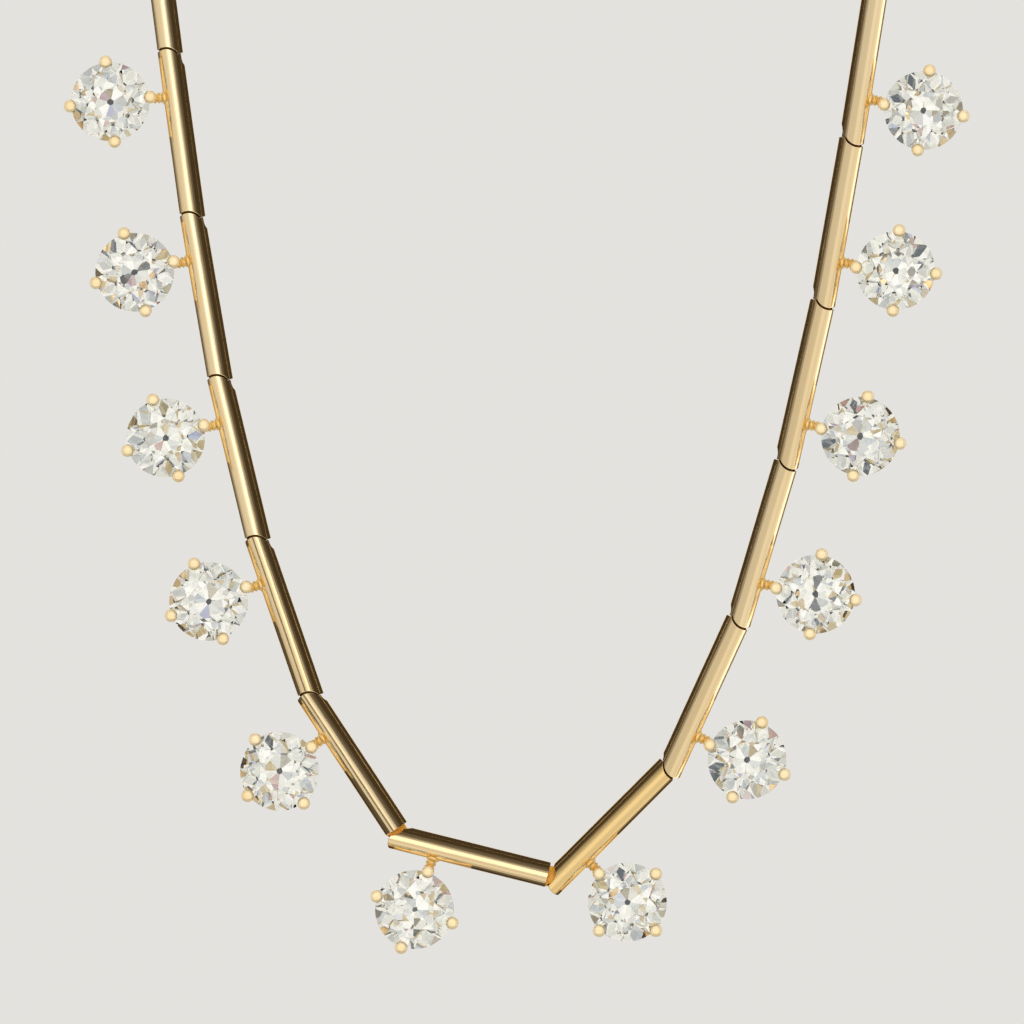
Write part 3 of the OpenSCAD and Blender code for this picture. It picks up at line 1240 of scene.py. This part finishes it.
class Necklace:
    """The whole necklace: its loop of gold pieces and its stones."""

    def __init__(self) -> None:
        """Sets the sizes and makes the finishes."""
        self.chain = ChainSizes()
        self.loop = Loop(self.chain)
        self.setting = Setting(SettingSizes(), StoneSizes(), self.chain)
        self.gold = [GOLD[part].make() for part in Part]
        self.crystal = [finish.make() for finish in CRYSTAL]
        self.groups: dict[Group, list[bpy.types.Object]] = {group: [] for group in Group}

    def stretches(self, i: int) -> tuple[Group, ...]:
        """The groups that the tube of piece i belongs to."""
        place = i - self.chain.left_plain - 3
        bottom = (Group.FOURTH, Group.FIFTH, Group.FOOT_LEFT, Group.FOOT_RIGHT)
        if i >= self.loop.side_count:
            return (Group.ARC,)
        if 0 <= place < len(bottom):
            return bottom[place], Group.UPRIGHT if place < 2 else Group.FEET
        return Group.LEFT if place < 0 else Group.RIGHT, Group.UPRIGHT

    def build(self) -> None:
        """Makes every piece in the order of the chain."""
        plain = 0
        for i in range(self.loop.count):
            k = i - self.chain.left_plain
            common = (i, self.loop, self.chain, self.gold)
            if 0 <= k < len(STATIONS):
                piece = StationPiece(f"link_{k + 1:02d}", *common, STATIONS[k], self.setting)
                self.groups[Group.SETTINGS].append(piece.dress_setting())
                self.groups[Group.STONES].append(piece.dress_stone(k, self.crystal))
            elif i == self.loop.clasp_index:
                piece = ClaspPiece("clasp", *common)
            else:
                plain += 1
                piece = GoldPiece(f"plain_{plain:02d}", *common)
            tube = piece.dress()
            for group in self.stretches(i):
                self.groups[group].append(tube)


def receivers(name: str, pieces: list[bpy.types.Object]) -> bpy.types.Collection:
    """Groups pieces that the same lights fall on.

    The lights share a few groups, because no more than 64 of them are kept apart.

    Args:
        name: The group's name.
        pieces: Its pieces.

    Returns:
        The group.
    """
    group = bpy.data.collections.new(f"{name}_receivers")
    for piece in pieces:
        group.objects.link(piece)
    return group


def add_light(
    name: str,
    place: Vector,
    axes: tuple[Vector, Vector, Vector],
    size: Pair,
    radiance: float,
    colour: str,
    lit: bpy.types.Collection,
) -> None:
    """Adds a soft rectangular light that only the given pieces receive.

    Args:
        name: Its name.
        place: Its middle.
        axes: Its width's direction, its height's direction and the way that its back faces.
        size: Width and height in metres.
        radiance: Brightness of its face; its power is radiance times pi times its area.
        colour: sRGB hex colour.
        lit: The group of pieces that it lights.
    """
    light = bpy.data.lights.new(name, "AREA")
    light.shape = "RECTANGLE"
    light.size, light.size_y = size
    light.energy = radiance * math.pi * size[0] * size[1]
    light.color = srgb(colour)[:3]
    lamp = add_object(name, light)
    lamp.location = place
    lamp.rotation_euler = Matrix(axes).transposed().to_euler()
    lamp.visible_camera = False
    lamp.visible_transmission = False
    lamp.light_linking.receiver_collection = lit


@dataclass(frozen=True)
class Tent:
    """Soft strip lights side by side, which stand in a half round about one stretch of tube.

    A bearing is measured about the tube, from the camera's side towards the stones. The strip from
    one bearing to the next has the first one's brightness.

    Args:
        group: The stretch that it lights.
        direction: Run of the tube, in degrees from straight down towards the right.
        target: The stretch's middle, X and Z in metres.
        strips: Bearing where each strip starts, and its brightness; the last one ends the row.
        colour: sRGB hex colour.
        distance: Metres from the tube to the strips.
        height: Length of the strips in metres.
    """

    group: Group
    direction: float
    target: Pair
    strips: tuple[Pair, ...]
    colour: str = "#FFFFFF"
    distance: float = 0.9
    height: float = 2.2

    def build(self, lit: bpy.types.Collection) -> None:
        """Makes the strips.

        Args:
            lit: The group of pieces that they light.
        """
        a = math.radians(self.direction)
        run = Vector((math.sin(a), 0.0, -math.cos(a)))
        outer = Vector((-math.cos(a), 0.0, -math.sin(a)))
        front = Vector((0.0, -1.0, 0.0))
        middle = Vector((self.target[0], 0.0, self.target[1]))
        for i, ((start, radiance), (end, _)) in enumerate(zip(self.strips, self.strips[1:])):
            bearing = math.radians((start + end) / 2)
            away = front * math.cos(bearing) + outer * math.sin(bearing)
            size = (2 * self.distance * math.tan(math.radians(end - start) / 2), self.height)
            name, place = f"{self.group.value}_tent_{i}", middle + away * self.distance
            add_light(name, place, (run.cross(away), run, away), size, radiance, self.colour, lit)


@dataclass(frozen=True)
class Panel:
    """A soft rectangular light, placed by its bearing from the necklace.

    Args:
        name: Its name.
        group: The pieces that it lights.
        azimuth: Degrees from the camera's side towards the right.
        elevation: Degrees above the horizon.
        distance: Metres from the necklace.
        size: Width and height in metres.
        radiance: Brightness of its face.
        colour: sRGB hex colour.
        target: The point that it faces.
    """

    name: str
    group: Group
    azimuth: float
    elevation: float
    distance: float
    size: Pair
    radiance: float
    colour: str = "#FFFFFF"
    target: tuple[float, float, float] = (-0.003, 0.0, -0.14)

    def build(self, lit: bpy.types.Collection) -> None:
        """Makes the light.

        Args:
            lit: The group of pieces that it lights.
        """
        a, e = math.radians(self.azimuth), math.radians(self.elevation)
        away = Vector((math.sin(a) * math.cos(e), -math.cos(a) * math.cos(e), math.sin(e)))
        side = Vector((math.cos(a), math.sin(a), 0.0))
        axes = (side, away.cross(side), away)
        place = Vector(self.target) + away * self.distance
        add_light(self.name, place, axes, self.size, self.radiance, self.colour, lit)


# The photograph's bands of light along each stretch of tube, from its inner to its outer side.
TENTS = (
    Tent(
        Group.LEFT,
        13.0,
        (-0.026, -0.135),
        (
            (-45, 0.07), (-26, 0.3), (-12, 0.85), (0, 1.75), (22, 0.95),
            (38, 0.74), (68, 0.66), (94, 0.4), (110, 0.15), (132, 0.0),
        ),
    ),
    Tent(
        Group.FOURTH,
        19.0,
        (-0.021, -0.148),
        (
            (-45, 0.07), (-27, 0.45), (-9, 1.5), (9, 0.9), (29, 0.15),
            (43, 0.72), (66, 0.6), (88, 0.06), (110, 0.05), (132, 0.0),
        ),
    ),
    Tent(
        Group.FIFTH,
        33.3,
        (-0.0153, -0.1592),
        (
            (-45, 0.05), (-27, 0.12), (-9, 0.68), (9, 1.1), (29, 0.14),
            (43, 0.72), (66, 0.06), (88, 0.05), (110, 0.0),
        ),
    ),
    Tent(
        Group.FOOT_LEFT,
        76.0,
        (-0.006, -0.166),
        (
            (-60, 0.06), (-44, 0.1), (-26, 0.45), (-10, 1.38), (24, 0.72),
            (46, 0.85), (66, 0.55), (88, 0.1), (110, 0.0),
        ),
        height=3.0,
    ),
    Tent(
        Group.FOOT_RIGHT,
        135.0,
        (0.004, -0.165),
        (
            (-64, 0.07), (-48, 0.38), (-26, 0.62), (-8, 0.95),
            (26, 0.74), (66, 0.85), (92, 0.2), (110, 0.0),
        ),
        "#FFF6DC",
        height=3.0,
    ),
    Tent(
        Group.RIGHT,
        165.0,
        (0.02, -0.135),
        (
            (-84, 0.07), (-66, 0.3), (-48, 0.62), (-8, 0.64), (14, 0.84),
            (44, 0.76), (66, 0.85), (90, 1.5), (118, 0.3), (134, 0.0),
        ),
    ),
)
SILK = "#FFFBF0"
BACKS = (
    Panel("back", Group.UPRIGHT, 180, 0, 0.9, (1.0, 1.9), 0.8),
    Panel("over", Group.UPRIGHT, 0, 90, 0.9, (1.6, 1.6), 0.7, SILK),
    Panel("under", Group.UPRIGHT, 0, -90, 0.9, (1.6, 1.6), 0.7, SILK),
    Panel("foot_back", Group.FEET, 180, 0, 0.9, (2.6, 1.0), 0.8),
    Panel("arc_back", Group.ARC, 180, 0, 0.9, (2.6, 1.9), 0.7),
    Panel("behind", Group.SETTINGS, 180, 0, 0.7, (1.35, 1.35), 0.6),
)
FRONTS = (
    Panel("front", Group.SETTINGS, 0, 0, 0.7, (1.35, 1.35), 1.1, SILK),
    Panel("left", Group.SETTINGS, -90, 0, 0.7, (1.35, 1.35), 0.8, SILK),
    Panel("right", Group.SETTINGS, 90, 0, 0.7, (1.35, 1.35), 0.8, SILK),
    Panel("above", Group.SETTINGS, 0, 90, 0.7, (1.35, 1.35), 0.85, SILK),
    Panel("below", Group.SETTINGS, 0, -90, 0.7, (1.35, 1.35), 0.65, SILK),
)
ARC_SHARES = (0.75, 0.5, 0.75, 1.0, 0.3)
STONE_FRONT = Panel("stone_front", Group.STONES, 0, 0, 0.7, (1.5, 1.5), 0.5)


@dataclass
class Studio:
    """The pale floor, the soft lights, the surroundings and the camera; sizes are in metres,
    apart from those of the glows and of the camera's sensor, which are in millimetres."""

    necklace: Necklace
    image: int = 1024
    stone_pixel: Pair = (110.4, 102.0)  # the first stone's middle in the photograph
    pixels_per_mm: float = 13.224
    camera_away: float = 1.2
    sensor: float = 36.0
    floor_half: float = 12.0
    floor_drop: float = 0.36
    paper: str = "#E4E2DE"
    room: str = "#6A5C48"
    room_strength: float = 0.42
    tent_strength: float = 1.15
    glow_size: Pair = (6.0, 1.9)
    glow_front: float = -0.25
    glow_out: float = 0.95
    glow_radiance: float = 0.48
    glow_colour: str = "#EACB90"
    # Colours of the tent's cloudy patches by the cloud's value: at both ends, and between them.
    tent_ends: tuple[str, str] = ("#5E666E", "#FFFFFF")
    cards: tuple[tuple[float, str], ...] = (
        (0.345, "#6E767E"),
        (0.365, "#C3B084"),
        (0.4, "#CDBD95"),
        (0.425, "#C2CAD2"),
        (0.465, "#DADDDB"),
        (0.5, "#EDEEE8"),
        (0.54, "#F8F9F4"),
        (0.57, "#FFFFFC"),
        (0.63, "#FFFFFF"),
        (0.648, "#B98F86"),
        (0.663, "#A9B6D8"),
        (0.675, "#FFFFFF"),
    )
    # The tent's darker back, its back's middle and the lens: two values of Y, and a colour.
    shades: tuple[tuple[float, float, str], ...] = (
        (-0.1, 0.15, "#9A968C"),
        (0.95, 0.98, "#24282C"),
        (-0.975, -0.99, "#3E464E"),
    )

    def build(self) -> None:
        """Makes everything round the necklace."""
        self.floor()
        self.surroundings()
        self.lights()
        self.glows()
        self.camera()
        self.cycles()

    def floor(self) -> None:
        """A wide pale floor well below the hanging loop."""
        half = self.floor_half
        mesh = bpy.data.meshes.new("floor")
        plan = ((-1, -1), (1, -1), (1, 1), (-1, 1))
        corners = [(x * half, y * half, -self.floor_drop) for x, y in plan]
        mesh.from_pydata(corners, [], [(0, 1, 2, 3)])
        # Uncoated card: an even pale ground without any gloss.
        material, tree = new_material("matt pale studio paper")
        paper = add_node(
            tree,
            "ShaderNodeBsdfPrincipled",
            Base_Color=srgb(self.paper),
            Roughness=1.0,
            Specular_IOR_Level=0.0,
        )
        add_node(tree, "ShaderNodeOutputMaterial", Surface=paper.outputs["BSDF"])
        mesh.materials.append(material)
        floor = add_object("floor", mesh)
        floor.visible_glossy = False
        floor.visible_transmission = False

    def surroundings(self) -> None:
        """What lies round the necklace: pale paper for the eye and the floor, a dim room for the
        gold's reflections, and a bright tent with a darker back for the light that the stones
        return.
        """
        world = bpy.data.worlds.new("studio")
        bpy.context.scene.world = world
        world.use_nodes = True
        world.cycles.sampling_method = "NONE"
        tree = world.node_tree
        tree.nodes.clear()
        ground = "ShaderNodeBackground"
        path = add_node(tree, "ShaderNodeLightPath")
        paper = add_node(tree, ground, Color=srgb(self.paper))
        white = add_node(tree, ground, Color=srgb("#FFFFFF"))
        room = add_node(tree, ground, Color=srgb(self.room), Strength=self.room_strength)
        tent = add_node(tree, ground, Color=self.tent(tree), Strength=self.tent_strength)
        last = room.outputs["Background"]
        rays = {"Is Transmission Ray": tent, "Is Diffuse Ray": white, "Is Camera Ray": paper}
        for ray, shade in rays.items():
            mix = add_node(tree, "ShaderNodeMixShader", Fac=path.outputs[ray])
            tree.links.new(last, mix.inputs[1])
            tree.links.new(shade.outputs["Background"], mix.inputs[2])
            last = mix.outputs["Shader"]
        add_node(tree, "ShaderNodeOutputWorld", Surface=last)

    def tent(self, tree: bpy.types.NodeTree) -> bpy.types.NodeSocket:
        """Colours of the tent by direction: white in front, dark behind and round the lens, with
        cloudy champagne and grey patches.

        Args:
            tree: The world's node tree.

        Returns:
            The socket that gives the colour.
        """
        way = add_node(tree, "ShaderNodeTexCoord").outputs["Generated"]
        depth = add_node(tree, "ShaderNodeSeparateXYZ", Vector=way).outputs["Y"]
        cloud = add_node(tree, "ShaderNodeTexNoise", Vector=way, Scale=3.4, Detail=1.5, Roughness=0.6)
        ramp = add_node(tree, "ShaderNodeValToRGB", Fac=cloud.outputs["Fac"])
        cards = ramp.color_ramp.elements
        cards[0].color, cards[1].color = map(srgb, self.tent_ends)
        for place, code in self.cards:
            cards.new(place).color = srgb(code)
        colour = ramp.outputs["Color"]
        for low, high, code in self.shades:
            share = add_node(tree, "ShaderNodeMapRange", Value=depth, From_Min=low, From_Max=high)
            mix = add_node(
                tree,
                "ShaderNodeMix",
                data_type="RGBA",
                Factor=share.outputs["Result"],
                A=colour,
                B=srgb(code),
            )
            colour = mix.outputs["Result"]
        return colour

    def lights(self) -> None:
        """The soft lights of each stretch of tube, of the settings and of the stones.

        The arc has the settings' five front panels again, smaller and each at its own share.
        """
        sides: list[Panel] = []
        for side, share in zip(FRONTS, ARC_SHARES):
            name, radiance = f"arc_{side.name}", side.radiance * share
            sides += [side, replace(side, name=name, group=Group.ARC, radiance=radiance, size=(1, 1))]
        lit = {group: receivers(group.value, pieces) for group, pieces in self.necklace.groups.items()}
        for light in (*TENTS, *BACKS, *sides, STONE_FRONT):
            light.build(lit[light.group])

    def glows(self) -> None:
        """The warm light that each setting throws on the side of its own tube."""
        n = self.necklace
        stem = n.setting.foot() + np.array([0, self.glow_front, self.glow_out])
        corners = stem + np.concatenate([np.zeros((1, 3)), np.eye(3)])
        size = (self.glow_size[0] * MM, self.glow_size[1] * MM)
        for k in range(len(STATIONS)):
            name = f"link_{k + 1:02d}"
            place, *ends = map(Vector, n.loop.placed(corners, n.chain.left_plain + k))
            along, _, out = ((end - place).normalized() for end in ends)
            lit = receivers(f"glow_{name}", [bpy.data.objects[f"tube_{name}"]])
            axes = (along, out.cross(along), out)
            add_light(f"glow_{name}", place, axes, size, self.glow_radiance, self.glow_colour, lit)

    def camera(self) -> None:
        """The camera, level and square to the loop, framed by the first stone's place."""
        low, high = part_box("stone_01")
        stone = (low + high) / 2
        right, down = ((self.image / 2 - at) / self.pixels_per_mm * MM for at in self.stone_pixel)
        data = bpy.data.cameras.new("camera")
        data.sensor_width = self.sensor
        data.lens = self.sensor * self.camera_away / (self.image / self.pixels_per_mm * MM)
        data.clip_start = 0.01
        data.clip_end = 100.0
        camera = add_object("camera", data)
        camera.location = (stone.x + right, -self.camera_away, stone.z - down)
        camera.rotation_euler = (math.pi / 2, 0.0, 0.0)
        bpy.context.scene.camera = camera

    def cycles(self) -> None:
        """Light bounces for the stones, and how bright values are shown."""
        scene = bpy.context.scene
        scene.cycles.max_bounces = 20
        scene.cycles.transmission_bounces = 20
        scene.cycles.glossy_bounces = 8
        scene.cycles.use_denoising = True
        scene.view_settings.view_transform = "Standard"
        scene.view_settings.look = "None"


def main() -> None:
    """Builds the necklace and the studio."""
    logging.basicConfig(level=logging.INFO, format="%(name)s: %(message)s")
    necklace = Necklace()
    necklace.build()
    Studio(necklace).build()


if __name__ == "__main__":
    main()
